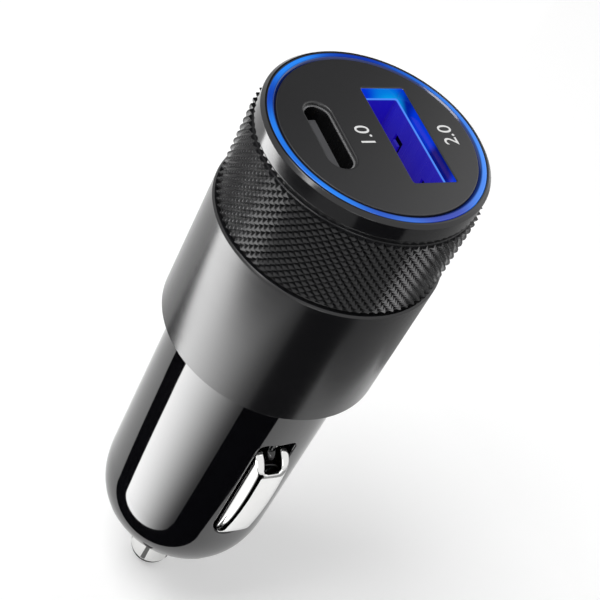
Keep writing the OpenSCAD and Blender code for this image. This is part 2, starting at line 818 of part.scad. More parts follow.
// The tinned disc and legs that hold the main board's end and feed it from the spring
module tip_terminal() {
    color("#c7b27a") {
        translate([0, 0, terminal_z])
            cylinder(r = terminal_r, h = terminal_t);
        for (side = [-1, 1])
            translate([-terminal_leg_w / 2,
                side * (main_board_t / 2 + smd_gap + terminal_t / 2) - terminal_t / 2, terminal_z])
                cube([terminal_leg_w, terminal_t, terminal_leg_h]);
    }
}

// One side contact, at -Y
module side_contact() {
    difference() {
        union() {
            contact_form(contact_end_r, contact_x, contact_edge_r, contact_base);
            for (x = [-1, 1])
                translate([x * (contact_x + contact_foot_w / 2 - contact_t / 2),
                    -contact_base - contact_t / 2, contact_mid_z])
                    cube([contact_foot_w + contact_t, contact_t,
                        contact_len - 2 * foot_inset], center = true);
        }
        contact_form(contact_end_r - contact_t, contact_x - contact_t,
            contact_inner_r, contact_base - cut);
        translate([0, -contact_base + cut, 0])
            rotate([90, 0, 0])
                linear_extrude(contact_reach)
                    slot(notch_w, -contact_z - notch_depth, -contact_z + notch_over,
                        notch_r, notch_r);
    }
}

// The side contact's outside, or its inside with radii smaller by the sheet
module contact_form(end_r, half, edge_r, base) {
    inset = contact_mid_r - base + cut;
    intersection() {
        translate([0, contact_taper - contact_mid_r, contact_foot_z])
            rotate([contact_tilt, 0, 0])
                intersection() {
                    rotate([90, 0, -90])
                        linear_extrude(2 * half + cut, center = true)
                            contact_profile(end_r, inset);
                    translate([0, 0, -end_r - cut])
                        linear_extrude(contact_run + 2 * (end_r + cut))
                            contact_section(end_r, half, edge_r, inset);
                }
        translate([0, -base, 0])
            rotate([90, 0, 0])
                linear_extrude(contact_reach)
                    slot(2 * half, contact_foot_z - end_r, contact_head_z + end_r,
                        half - contact_low_flat, contact_top_r);
    }
}

// Side view of the contact: outwards is +X, along it is Y
module contact_profile(end_r, inset) {
    circle(end_r);
    translate([0, contact_run])
        circle(end_r);
    square([end_r, contact_run]);
    translate([-inset, -end_r - cut / 2])
        square([inset, contact_run + 2 * end_r + cut]);
}

// End view of the contact: outwards is -Y, across it is X
module contact_section(depth, half, r, inset) {
    translate([-half, r - depth])
        square([2 * half, depth - r + inset]);
    translate([r - half, -depth])
        square([2 * (half - r), depth + inset]);
    for (x = [-1, 1])
        translate([x * (half - r), r - depth])
            circle(r);
}

module side_contact_front() {
    color("#d5d8dc")
        side_contact();
}
module side_contact_back() {
    color("#d5d8dc")
        rotate([0, 0, 180])
            side_contact();
}

module side_spring() {
    translate([0, -side_spring_start, contact_mid_z])
        rotate([90, 0, 0])
            coil(side_spring_d, side_wire, side_spring_end - side_spring_start, side_spring_turns);
}
module side_spring_front() {
    color("#a9adb3")
        side_spring();
}
module side_spring_back() {
    color("#a9adb3")
        rotate([0, 0, 180])
            side_spring();
}

head_sleeve();
light_ring();
face_plate();
barrel_housing();
usb_a_shell();
usb_a_insulator();
usb_a_contacts();
usb_c_shell();
usb_c_insulator();
usb_c_contacts();
port_board();
main_board();
board_pins();
ring_leds();
inductor();
input_capacitor();
output_capacitor();
converter_chip();
charge_chip();
rectifier_diode();
fuse();
board_chips();
tip_contact();
tip_spring();
tip_terminal();
side_contact_front();
side_contact_back();
side_spring_front();
side_spring_back();
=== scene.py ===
# Looks of the car charger plug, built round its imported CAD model
import bmesh
import bpy
import json
import math
from mathutils import Matrix, Vector
from mathutils.geometry import delaunay_2d_cdt


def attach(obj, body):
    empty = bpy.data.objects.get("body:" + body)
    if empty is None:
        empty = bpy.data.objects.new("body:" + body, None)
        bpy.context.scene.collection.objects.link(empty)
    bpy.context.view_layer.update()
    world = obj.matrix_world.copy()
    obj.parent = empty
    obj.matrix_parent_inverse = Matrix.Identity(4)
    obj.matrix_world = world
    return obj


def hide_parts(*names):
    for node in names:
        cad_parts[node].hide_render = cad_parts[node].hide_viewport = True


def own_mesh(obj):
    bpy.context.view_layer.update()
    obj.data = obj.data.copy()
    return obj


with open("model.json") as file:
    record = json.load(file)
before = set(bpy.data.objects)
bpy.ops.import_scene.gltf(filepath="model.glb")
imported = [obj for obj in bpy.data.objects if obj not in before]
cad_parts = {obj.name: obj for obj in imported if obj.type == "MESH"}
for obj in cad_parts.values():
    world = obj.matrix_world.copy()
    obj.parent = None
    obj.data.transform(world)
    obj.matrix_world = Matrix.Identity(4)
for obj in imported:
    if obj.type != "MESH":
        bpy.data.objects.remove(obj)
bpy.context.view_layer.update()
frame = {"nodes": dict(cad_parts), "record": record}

MM = 0.001
charger = "charger"
sides_round = 192
# Edges that turn by more than so many degrees stay crisp
moulded_angle, turned_angle, strip_angle, print_angle, knurl_angle = 40, 50, 60, 30, 15
# A ring of points lies this close to each rounded edge, so that smooth shading stays flat past it
near_edge = 0.05

# Sizes of the CAD source, in millimetres, that the pieces below follow
barrel_r = 10.4
barrel_in_r = 9.1
land_len = 7.4
nose_r = 10.3
nose_z = -26.5
nose_len = 10.5
nose_power = 3.2
boss_r = 4.3
boss_z = -38.2
cavity_z = -35.8
pocket_z = -36.6
pocket_r = 3.95
guide_r = 4.75
guide_top_z = -32.1
tip_hole_r = 2.85
tip_r = 2.7
tip_end_z = -47.0
tip_shank_z = -43.2
flange_r = 3.8
flange_z = -36.55
flange_t = 1
cup_r = 11.4
cup_low_z = 1.25
cup_top_z = 15.85
cup_rim_r = 10.7
cup_ledge_z = 13.8
cup_in_r = 10.0
cup_floor_z = 2.25
barrel_bore_z = 0.25
band_r = 12.6
band_h = 17.1
bore_r = 11.45
bore_floor_z = 1.2
lip_r = barrel_r + 0.1
knurl_r = 12.45
knurl_depth = 0.42
knurl_count = 80
knurl_rows = 10
knurl_pitch = 0.94
groove_w = 0.45
groove_r = 11.9
collar_r = 12.03
face_z = 29.6
plate_z = 28.2
skirt_z = 16.95
ring_out_r = 11.4
ring_in_r = 10.6
face_r = 10.55
skirt_in_r = 9.65
foot_z = 15.9
foot_t = 1
foot_w = 2.1
flat_x = 3.4
flat_open = (5.1, 12.9, 0.25)
oval_x = -5.55
oval_open = (3.0, 8.7, 1.49)
oval_pocket = (3.4, 9.1, 1.69)
oval_lip_z = 29.25
window_half = 2.35
window_low_z = -25.75
window_top_z = -7.85
window_corner_r = 1.0
stop_dome_z = -10.6
contact_half = 2.1
contact_half_len = 7.85
contact_mid_z = -17.65


def clean(obj):
    """Merges what meets, drops loose edges and points and turns every face outwards."""
    form = bmesh.new()
    form.from_mesh(obj.data)
    bmesh.ops.remove_doubles(form, verts=form.verts, dist=1e-7)
    bmesh.ops.delete(form, geom=[e for e in form.edges if not e.link_faces], context="EDGES")
    bmesh.ops.delete(form, geom=[v for v in form.verts if not v.link_faces], context="VERTS")
    bmesh.ops.recalc_face_normals(form, faces=form.faces)
    form.to_mesh(obj.data)
    form.free()


def new_object(name, data):
    obj = bpy.data.objects.new(name, data)
    bpy.context.scene.collection.objects.link(obj)
    return obj


def finish_piece(obj, body, stands_for, sharp):
    """Smooths a piece up to an angle, hides the CAD parts it stands for and hangs it on its body.
    """
    obj.data.shade_smooth()
    obj.data.set_sharp_from_angle(angle=math.radians(sharp))
    if stands_for:
        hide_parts(*stands_for)
    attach(obj, body)


def applied(obj):
    """Turns an object's modifiers into its own mesh."""
    bpy.context.view_layer.update()
    seen = obj.evaluated_get(bpy.context.evaluated_depsgraph_get())
    mesh = bpy.data.meshes.new_from_object(seen)
    obj.modifiers.clear()
    obj.data = mesh


class Skin:
    """Collects walls and sheets in millimetres that meet in one closed mesh."""

    def __init__(self):
        self.points, self.faces = [], []

    def strip(self, rows):
        """Walls between closed rows of as many points each."""
        base, count = len(self.points), len(rows[0])
        for row in rows:
            self.points += row
        for j in range(len(rows) - 1):
            for i in range(count):
                a, b = base + j * count + i, base + j * count + (i + 1) % count
                self.faces.append((a, b, b + count, a + count))

    def turned(self, outline):
        """Walls of an open outline of (r, z) points turned round the axis."""
        turns = [2 * math.pi * i / sides_round for i in range(sides_round)]
        self.strip([[(r * math.cos(a), r * math.sin(a), z) for a in turns] for r, z in outline])

    def cap(self, row):
        """One flat face across a row of points."""
        base = len(self.points)
        self.points += row
        self.faces.append(tuple(range(base, base + len(row))))

    def sheet(self, spots, loops, keep, place):
        """Fills a flat region through the spots and loops, set in space by place."""
        flat, edges = [Vector(s) for s in spots], []
        for loop in loops:
            start = len(flat)
            flat += [Vector(p) for p in loop]
            edges += [(start + i, start + (i + 1) % len(loop)) for i in range(len(loop))]
        flat, _, triangles, *_ = delaunay_2d_cdt(flat, edges, [], 0, 1e-6)
        base = len(self.points)
        self.points += [place(*v) for v in flat]
        for tri in triangles:
            if keep(*(sum((flat[i] for i in tri), Vector((0, 0))) / 3)):
                self.faces.append(tuple(base + i for i in tri))

    def piece(self, name, material, slot, sharp, body=charger, stands_for=()):
        """Makes the collected walls a finished piece that rides on a body."""
        mesh = bpy.data.meshes.new(name)
        mesh.from_pydata([tuple(c * MM for c in p) for p in self.points], [], self.faces)
        obj = new_object(name, mesh)
        clean(obj)
        obj.data.materials.append(material)
        finish_piece(obj, body, stands_for, sharp)


def rounded(outline, radius):
    """A closed outline of (r, z) points with round corners and a point close to each."""
    steps, longest_share, shortest, on_axis = 3, 0.4, 0.005, 1e-6
    out = []
    count = len(outline)
    for i in range(count):
        here = Vector(outline[i])
        before = Vector(outline[i - 1]) - here
        after = Vector(outline[(i + 1) % count]) - here
        bend = before.angle(after)
        reach = min(radius / math.tan(bend / 2), before.length * longest_share,
                    after.length * longest_share)
        if reach < shortest or here.x < on_axis:
            out.append(tuple(here))
            continue
        spare = min(near_edge, before.length / 2 - reach, after.length / 2 - reach)
        before, after = before.normalized(), after.normalized()
        start, end = here + before * reach, here + after * reach
        out.append(tuple(start + before * spare))
        for k in range(steps + 1):
            t = k / steps
            out.append(tuple(start * (1 - t) ** 2 + here * 2 * t * (1 - t) + end * t ** 2))
        out.append(tuple(end + after * spare))
    return out


def turned_piece(name, outline, material, slot, **rest):
    """A piece from a closed outline of (r, z) points turned round the axis."""
    skin = Skin()
    skin.turned(outline + outline[:1])
    skin.piece(name, material, slot, turned_angle, **rest)


class Value:
    """Wraps a shader socket so that maths on it reads as an expression."""

    def __init__(self, finish, socket):
        self.finish, self.socket = finish, socket

    def maths(self, operation, *others):
        return self.finish.node("ShaderNodeMath", {"operation": operation},
                                dict(enumerate((self, *others))))

    def __add__(self, other):
        return self.maths("ADD", other)

    def __sub__(self, other):
        return self.maths("SUBTRACT", other)

    def __mul__(self, other):
        return self.maths("MULTIPLY", other)

    def __rsub__(self, other):
        return (self * -1) + other

    __radd__, __rmul__ = __add__, __mul__

    def smooth(self, low, high):
        """0 below low and 1 above high, with a soft step between."""
        return self.finish.node("ShaderNodeMapRange", {"interpolation_type": "SMOOTHSTEP"},
                                {"Value": self, "From Min": low, "From Max": high})

    def near(self, middle, width):
        """1 at middle, falling to 0 at width from it."""
        return 1 - (self - middle).maths("ABSOLUTE").smooth(0, width)


class Finish:
    """A material being made: its shader, and short ways to add nodes."""

    def __init__(self, name, colour, roughness, metallic=0.0):
        self.material = bpy.data.materials.new(name)
        self.material.use_nodes = True
        self.tree = self.material.node_tree
        self.shader = self.tree.nodes["Principled BSDF"]
        self.set(base_color=colour, roughness=roughness, metallic=metallic)
        self.place = self.node("ShaderNodeTexCoord", {}, {}, "Object")
        parts = self.tree.nodes.new("ShaderNodeSeparateXYZ")
        self.tree.links.new(self.place.socket, parts.inputs[0])
        self.x, self.y, self.z = (Value(self, s) * 1000 for s in parts.outputs)

    def feed(self, socket, value):
        """Links a socket to a value, or sets it."""
        if isinstance(value, Value):
            self.tree.links.new(value.socket, socket)
        elif isinstance(value, tuple) and len(socket.default_value) == 4:
            socket.default_value = (*value, 1)
        else:
            socket.default_value = value

    def node(self, kind, settings, inputs, output=0):
        """Adds a node: its settings first, then the values or links of its sockets."""
        made = self.tree.nodes.new(kind)
        for key, value in settings.items():
            setattr(made, key, value)
        for key, value in inputs.items():
            self.feed(made.inputs[key], value)
        return Value(self, made.outputs[output])

    def set(self, **inputs):
        """Feeds the shader's sockets, each named in small letters."""
        for key, value in inputs.items():
            label = key.replace("_", " ").title().replace("Ior", "IOR")
            self.feed(self.shader.inputs[label], value)

    def stretched(self, *scale):
        """Object place scaled along each axis, for drawn or turned marks."""
        return self.node("ShaderNodeMapping", {}, {"Vector": self.place, "Scale": scale})

    def noise(self, scale, detail=2.0, along=None):
        where = self.stretched(*along) if along else self.place
        return self.node("ShaderNodeTexNoise", {},
                         {"Vector": where, "Scale": scale, "Detail": detail}, "Fac")

    def mix(self, factor, low, high):
        """Mixes two colours, each a triple or a socket."""
        return self.node("ShaderNodeMix", {"data_type": "RGBA"}, {0: factor, 6: low, 7: high}, 2)

    def bump(self, height, strength):
        self.set(normal=self.node("ShaderNodeBump", {}, {
            "Height": height, "Strength": strength, "Distance": 0.02 * MM}, "Normal"))


def black_aluminium():
    f = Finish("black_aluminium", (0.008, 0.008, 0.009), 0.3)
    rings = f.noise(900, 2, (0.02, 0.02, 1))
    collar = f.z.smooth(27.3, 27.5)
    f.set(roughness=0.15 + 0.05 * rings + 0.04 * f.noise(2600, 3) - 0.07 * collar,
          base_color=f.mix(f.noise(60), (0.006, 0.006, 0.007), (0.010, 0.010, 0.011)))
    f.bump(rings, 0.07)
    return f.material


def knurled_aluminium():
    f = Finish("knurled_aluminium", (0.006, 0.006, 0.007), 0.25)
    f.set(roughness=0.14 + 0.14 * f.noise(1500, 3), specular_ior_level=0.4,
          base_color=f.mix(f.noise(700), (0.003, 0.003, 0.004), (0.010, 0.010, 0.011)))
    f.bump(f.noise(4000), 0.15)
    return f.material


def plated_black():
    f = Finish("plated_black", (0.003, 0.003, 0.004), 0.04)
    stop_dome = f.x.near(0, 0.9) * f.z.near(stop_dome_z, 1.0)
    f.set(roughness=0.03 + 0.03 * f.noise(220, 3) + 0.28 * stop_dome, ior=1.6,
          base_color=f.mix(f.noise(45), (0.002, 0.002, 0.003), (0.005, 0.005, 0.006)))
    return f.material


def lit_ring():
    f = Finish("lit_ring", (0.005, 0.02, 0.1), 0.1)
    radius = (f.x * f.x + f.y * f.y).maths("SQRT")
    # The ring glows from the light chips under it; its brighter cyan patches are painted
    # highlights
    painted_highlight_patches = f.noise(75, 1).smooth(0.42, 0.62)
    lit = radius.smooth(10.75, 11.05)
    blue = f.mix(painted_highlight_patches, (0.0, 0.02, 0.36), (0.02, 0.26, 0.95))
    f.set(emission_color=f.mix(lit, (0.0, 0.0, 0.03), blue), emission_strength=0.9,
          roughness=0.08 + 0.06 * painted_highlight_patches)
    return f.material


def port_glow():
    f = Finish("port_glow", (0.0, 0.01, 0.06), 0.12)
    cyan = f.noise(130, 1).smooth(0.5, 0.68)
    navy = f.noise(210, 1).smooth(0.44, 0.6)
    f.set(emission_color=f.mix(cyan, f.mix(navy, (0.0, 0.03, 0.62), (0.0, 0.0, 0.14)),
                               (0.0, 0.42, 0.85)),
          emission_strength=0.95, roughness=0.1 + 0.08 * cyan)
    return f.material


def painted_light_steel():
    # The steel shell gives no light: its blue tint and glow are painted port light, stronger
    # towards the top, with a painted light-blue highlight along its top edge
    f = Finish("painted_light_steel", (0.1, 0.12, 0.3), 0.28, 0.6)
    drawn = f.noise(700, 2, (1, 1, 0.06))
    painted_light_depth = f.z.smooth(18, 28.2)
    painted_rim_highlight = f.z.smooth(28.0, 28.12)
    painted_port_light = f.mix(painted_rim_highlight, f.mix(painted_light_depth, (0.012, 0.0, 0.05), (0.005, 0.0, 0.34)), (0.08, 0.3, 1.0))
    f.set(roughness=0.2 + 0.14 * drawn, emission_color=painted_port_light, emission_strength=0.85,
          base_color=f.mix(drawn, (0.05, 0.05, 0.2), (0.1, 0.1, 0.3)))
    return f.material


def port_steel():
    f = Finish("port_steel", (0.03, 0.03, 0.032), 0.3, 0.8)
    drawn = f.noise(700, 2, (1, 1, 0.06))
    # Painted highlight: the shell's top edge is coloured pale steel as a bright edge line
    painted_rim_highlight = f.z.smooth(29.05, 29.15)
    f.set(roughness=0.2 + 0.14 * drawn,
          base_color=f.mix(painted_rim_highlight, f.mix(drawn, (0.02, 0.02, 0.022), (0.04, 0.04, 0.042)),
                           (0.7, 0.7, 0.71)))
    return f.material


def tongue_pink():
    f = Finish("tongue_pink", (0.5, 0.16, 0.2), 0.4)
    grain = f.noise(1800, 3)
    # Where x is under 1.6 mm, the tongue's side is painted purple, as the blue port light falling
    # on it
    side = f.x.smooth(1.6, 1.9)
    f.set(base_color=f.mix(side, (0.16, 0.07, 0.5), f.mix(f.noise(160), (0.5, 0.15, 0.19),
                                                        (0.6, 0.2, 0.22))),
          roughness=0.38 + 0.08 * grain)
    f.bump(grain, 0.06)
    return f.material


def face_plastic():
    f = Finish("face_plastic", (0.014, 0.014, 0.015), 0.4)
    grain = f.noise(2400, 3)
    f.set(roughness=0.36 + 0.1 * grain,
          base_color=f.mix(f.noise(90), (0.012, 0.012, 0.013), (0.017, 0.017, 0.018)))
    f.bump(grain, 0.07)
    return f.material


def moulded(name, dark, pale, roughness):
    f = Finish(name, dark, roughness)
    grain = f.noise(1800, 3)
    f.set(base_color=f.mix(f.noise(160), dark, pale), roughness=roughness + 0.08 * grain)
    f.bump(grain, 0.06)
    return f.material


def metal(name, dark, pale, roughness, scale=300, along=None):
    f = Finish(name, dark, roughness, 1.0)
    marks = f.noise(scale, 3, along)
    f.set(base_color=f.mix(marks, dark, pale), roughness=roughness + 0.06 * marks)
    return f.material


def board_mask():
    f = Finish("board_green", (0.02, 0.12, 0.05), 0.3)
    tracks = f.noise(420, 1, (1, 0.01, 0.5)).smooth(0.52, 0.56)
    f.set(base_color=f.mix(tracks, (0.015, 0.1, 0.04), (0.05, 0.2, 0.08)),
          roughness=0.26 + 0.1 * tracks)
    return f.material


def wound_ferrite():
    f = Finish("ferrite", (0.05, 0.05, 0.055), 0.5)
    wire = f.noise(1200, 1, (0.02, 1, 0.02)).smooth(0.45, 0.55)
    f.set(base_color=f.mix(wire, (0.04, 0.04, 0.044), (0.09, 0.06, 0.04)),
          roughness=0.55 - 0.15 * wire)
    return f.material


finishes = {
    "black_aluminium": black_aluminium(),
    "plated_black": plated_black(),
    "lit_ring": lit_ring(),
    "face_plastic": face_plastic(),
    "port_steel": port_steel(),
    "tongue_pink": tongue_pink(),
    "tongue_black": moulded("tongue_black", (0.05, 0.05, 0.053), (0.08, 0.08, 0.085), 0.35),
    "gilt": metal("gilt", (0.75, 0.5, 0.16), (0.88, 0.64, 0.27), 0.2),
    "board_green": board_mask(),
    "led_white": moulded("led_white", (0.8, 0.76, 0.6), (0.9, 0.88, 0.8), 0.35),
    "ferrite": wound_ferrite(),
    "can_blue": metal("can_blue", (0.04, 0.08, 0.26), (0.06, 0.12, 0.35), 0.3),
    "can_grey": metal("can_grey", (0.5, 0.5, 0.52), (0.65, 0.65, 0.68), 0.25, 300, (1, 1, 0.05)),
    "chip_black": moulded("chip_black", (0.018, 0.018, 0.02), (0.03, 0.03, 0.032), 0.55),
    "fuse_ceramic": moulded("fuse_ceramic", (0.7, 0.68, 0.6), (0.85, 0.83, 0.76), 0.3),
    "chip_tan": moulded("chip_tan", (0.42, 0.27, 0.14), (0.56, 0.4, 0.24), 0.4),
    "nickel": metal("nickel", (0.74, 0.74, 0.73), (0.84, 0.84, 0.83), 0.05, 260),
    "spring_steel": metal("spring_steel", (0.45, 0.46, 0.48), (0.6, 0.61, 0.63), 0.28, 900),
    "tinned": metal("tinned", (0.6, 0.58, 0.5), (0.74, 0.72, 0.64), 0.3, 500),
}
knurl_finish = knurled_aluminium()
glow_finish = port_glow()
print_finish = moulded("print_white", (0.62, 0.62, 0.62), (0.7, 0.7, 0.7), 0.5)
painted_light_steel_finish = painted_light_steel()

node_slot = {row["node"]: row["material_slot"] for row in frame["record"]["subparts"]}
for name, obj in frame["nodes"].items():
    obj.data.materials.clear()
    obj.data.materials.append(painted_light_steel_finish if name == "usb_a_shell" else finishes[node_slot[name]])


def head_sleeve():
    """The turned band, grooves and collar. The knurl's diamonds stand on its middle."""
    low, top = band_h + groove_w, band_h + groove_w + knurl_rows * knurl_pitch
    under_points, chamfer, face_chamfer = 0.01, 0.2, 0.35
    valley = knurl_r - knurl_depth - under_points
    outline = [(lip_r, 0), (band_r - chamfer, 0), (band_r, chamfer), (band_r, band_h - chamfer),
               (band_r - chamfer, band_h), (groove_r, band_h), (groove_r, low),
               (valley, low), (valley, top), (groove_r, top),
               (groove_r, top + groove_w), (collar_r - chamfer, top + groove_w),
               (collar_r, top + groove_w + chamfer), (collar_r, face_z - face_chamfer),
               (collar_r - face_chamfer, face_z), (bore_r, face_z), (bore_r, bore_floor_z),
               (lip_r, bore_floor_z)]
    turned_piece("head_sleeve_skin", rounded(outline, 0.05), finishes["black_aluminium"],
                 "black_aluminium", stands_for=["head_sleeve"])


def diamond(name, low, top):
    """One point of the knurl with a small worn flat, from low (-1 or 0) to top (0 or 1)."""
    step = math.pi / knurl_count
    valley_r, flat = knurl_r - knurl_depth, 0.13
    half = knurl_pitch / 2
    reach, back = valley_r * math.sin(step), valley_r * math.cos(step)
    flat_r = knurl_r - knurl_depth * flat
    points = [(back, -reach, 0), (valley_r, 0, half * low), (back, reach, 0),
              (valley_r, 0, half * top)]
    points += [(flat_r, -reach * flat, 0), (flat_r, 0, half * flat * low),
               (flat_r, reach * flat, 0), (flat_r, 0, half * flat * top)]
    faces = [(0, 1, 5, 4), (1, 2, 6, 5), (2, 3, 7, 6), (3, 0, 4, 7), (4, 5, 6, 7)]
    if low == 0:
        faces = [(2, 3, 7, 6), (3, 0, 4, 7), (4, 6, 7), (0, 2, 6, 4)]
    if top == 0:
        faces = [(0, 1, 5, 4), (1, 2, 6, 5), (4, 5, 6), (0, 4, 6, 2)]
    mesh = bpy.data.meshes.new(name)
    mesh.from_pydata([tuple(c * MM for c in p) for p in points], [], faces)
    return new_object(name, mesh)


def rows_round_axis():
    """Stands rows of one shape round the axis, each second row half a step on."""
    tree = bpy.data.node_groups.new("rows_round_axis", "GeometryNodeTree")
    face = tree.interface
    face.new_socket("Geometry", in_out="OUTPUT", socket_type="NodeSocketGeometry")
    for name, kind in (("Shape", "Object"), ("Count", "Int"), ("Rows", "Int"),
                       ("First height", "Float"), ("Row pitch", "Float"),
                       ("First row odd", "Int"), ("Material", "Material")):
        face.new_socket(name, in_out="INPUT", socket_type="NodeSocket" + kind)
    node, link = tree.nodes.new, tree.links.new
    given = node("NodeGroupInput").outputs

    def maths(operation, a, b):
        made = node("ShaderNodeMath")
        made.operation = operation
        for socket, value in zip(made.inputs, (a, b)):
            if isinstance(value, (int, float)):
                socket.default_value = value
            else:
                link(value, socket)
        return made.outputs[0]

    shape, points = node("GeometryNodeObjectInfo"), node("GeometryNodePoints")
    link(given["Shape"], shape.inputs["Object"])
    link(maths("MULTIPLY", given["Count"], given["Rows"]), points.inputs["Count"])
    index = node("GeometryNodeInputIndex").outputs[0]
    row = maths("FLOOR", maths("DIVIDE", index, given["Count"]), 0)
    shift = maths("MULTIPLY", maths("MODULO", maths("ADD", row, given["First row odd"]), 2), 0.5)
    column = maths("ADD", maths("MODULO", index, given["Count"]), shift)
    turn = maths("DIVIDE", maths("MULTIPLY", column, 2 * math.pi), given["Count"])
    height = maths("ADD", given["First height"], maths("MULTIPLY", row, given["Row pitch"]))
    place, spin = node("ShaderNodeCombineXYZ"), node("ShaderNodeCombineXYZ")
    link(height, place.inputs["Z"])
    link(turn, spin.inputs["Z"])
    link(place.outputs[0], points.inputs["Position"])
    stand = node("GeometryNodeInstanceOnPoints")
    link(points.outputs[0], stand.inputs["Points"])
    link(shape.outputs["Geometry"], stand.inputs["Instance"])
    link(spin.outputs[0], stand.inputs["Rotation"])
    real, paint = node("GeometryNodeRealizeInstances"), node("GeometryNodeSetMaterial")
    link(stand.outputs[0], real.inputs[0])
    link(real.outputs[0], paint.inputs["Geometry"])
    link(given["Material"], paint.inputs["Material"])
    link(paint.outputs[0], node("NodeGroupOutput").inputs[0])
    return tree


def repeated(name, tree, values):
    """Runs a node tree with named inputs and keeps its result as a plain mesh."""
    holder = new_object(name, bpy.data.meshes.new(name))
    modifier = holder.modifiers.new("rows", "NODES")
    modifier.node_group = tree
    for item in tree.interface.items_tree:
        if item.in_out == "INPUT":
            modifier[item.identifier] = values[item.name]
    applied(holder)
    return holder


def knurl():
    """The diamonds of the knurl, with a row of half diamonds at each end."""
    joined = 0.002 * MM
    tree = rows_round_axis()
    low_z, half = (band_h + groove_w) * MM, knurl_pitch / 2 * MM
    form = bmesh.new()
    for name, low, top, rows, first, odd in (
            ("knurl_whole", -1, 1, 2 * knurl_rows - 1, low_z + half, 0),
            ("knurl_foot", 0, 1, 1, low_z, 1),
            ("knurl_head", -1, 0, 1, low_z + 2 * knurl_rows * half, 1)):
        shape = diamond(name + "_shape", low, top)
        part = repeated(name, tree, {
            "Shape": shape, "Count": knurl_count, "Rows": rows, "First height": first,
            "Row pitch": half, "First row odd": odd, "Material": knurl_finish})
        form.from_mesh(part.data)
        bpy.data.objects.remove(part)
        bpy.data.objects.remove(shape)
    bmesh.ops.remove_doubles(form, verts=form.verts, dist=joined)
    mesh = bpy.data.meshes.new("knurl_points")
    form.to_mesh(mesh)
    form.free()
    mesh.materials.append(knurl_finish)
    finish_piece(new_object("knurl_points", mesh), charger, (), knurl_angle)


def light_ring():
    """The clear ring, with the foot that takes the light chips' light."""
    foot_r, chamfer = ring_out_r - foot_w, 0.25
    outline = [(foot_r, foot_z), (ring_out_r, foot_z), (ring_out_r, face_z),
               (ring_in_r + chamfer, face_z), (ring_in_r, face_z - chamfer),
               (ring_in_r, foot_z + foot_t), (foot_r, foot_z + foot_t)]
    turned_piece("light_ring_clear", rounded(outline, 0.08), finishes["lit_ring"],
                 "lit_ring", stands_for=["light_ring"])


def round_rect(shape, grow, x):
    """Outline of a rectangle (width, length, corner) with round corners about (x, 0)."""
    steps = 10
    w, l, r = shape[0] / 2 + grow, shape[1] / 2 + grow, shape[2] + grow
    out = []
    for k, (sx, sy) in enumerate(((1, 1), (-1, 1), (-1, -1), (1, -1))):
        for i in range(steps + 1):
            a = math.radians(90 * (k + i / steps))
            out.append((x + sx * (w - r) + r * math.cos(a), sy * (l - r) + r * math.sin(a)))
    return out


def in_round_rect(u, v, shape, grow, x):
    """Whether (u, v) lies in the outline that round_rect gives."""
    w, l, r = shape[0] / 2 + grow, shape[1] / 2 + grow, shape[2] + grow
    over = Vector((max(abs(u - x) - (w - r), 0), max(abs(v) - (l - r), 0)))
    return over.length < r


def circle_row(r, z):
    return [(r * math.cos(2 * math.pi * i / sides_round),
             r * math.sin(2 * math.pi * i / sides_round), z) for i in range(sides_round)]


def quarter(edge):
    """Steps round a convex edge, as how far out and how deep each lies."""
    steps = 4
    yield edge + near_edge, 0
    for k in range(steps + 1):
        a = math.pi / 2 * k / steps
        yield edge * (1 - math.sin(a)), edge * (1 - math.cos(a))


def at_z(loop, z):
    return [(u, v, z) for u, v in loop]


def face_plate():
    """The matt face with round-edged openings, and the skirt under it."""
    skin = Skin()
    flat_edge, oval_edge, rim_edge = 0.1, 0.22, 0.1
    holes = ((flat_open, flat_x, flat_edge), (oval_open, oval_x, oval_edge))
    rows = [at_z(round_rect(flat_open, g, flat_x), face_z - d) for g, d in quarter(flat_edge)]
    skin.strip(rows + [at_z(round_rect(flat_open, 0, flat_x), plate_z)])
    rows = [at_z(round_rect(oval_open, g, oval_x), face_z - d) for g, d in quarter(oval_edge)]
    skin.strip(rows + [at_z(round_rect(oval_open, 0, oval_x), oval_lip_z),
                       at_z(round_rect(oval_pocket, 0, oval_x), oval_lip_z),
                       at_z(round_rect(oval_pocket, 0, oval_x), plate_z)])
    rows = [circle_row(face_r - g, face_z - d) for g, d in quarter(rim_edge)]
    skin.strip(rows + [circle_row(face_r, skirt_z), circle_row(skirt_in_r, skirt_z),
                       circle_row(skirt_in_r, plate_z)])
    top_r = face_r - rim_edge - near_edge

    def on_top(u, v):
        return math.hypot(u, v) < top_r and not any(
            in_round_rect(u, v, shape, edge + near_edge, x) for shape, x, edge in holes)

    def below(u, v):
        return (math.hypot(u, v) < skirt_in_r and not in_round_rect(u, v, flat_open, 0, flat_x)
                and not in_round_rect(u, v, oval_pocket, 0, oval_x))

    skin.sheet([], [[p[:2] for p in circle_row(top_r, 0)]]
               + [round_rect(shape, edge + near_edge, x) for shape, x, edge in holes],
               on_top, lambda u, v: (u, v, face_z))
    skin.sheet([], [[p[:2] for p in circle_row(skirt_in_r, 0)], round_rect(flat_open, 0, flat_x),
                    round_rect(oval_pocket, 0, oval_x)], below, lambda u, v: (u, v, plate_z))
    skin.piece("face_plate_moulded", finishes["face_plastic"], "face_plastic", moulded_angle,
               stands_for=["face_plate"])

    lining, outer, inner, low_z = Skin(), -0.002, -0.06, plate_z + 0.01
    rows = [at_z(round_rect(flat_open, g, flat_x), z) for g, z in (
        (outer, low_z), (outer, face_z - 0.12), (-0.02, face_z - 0.09),
        (-0.05, face_z - 0.11), (inner, face_z - 0.15), (inner, low_z))]
    lining.strip(rows + rows[:1])
    lining.piece("flat_port_lining", glow_finish, "lit_ring", moulded_angle)


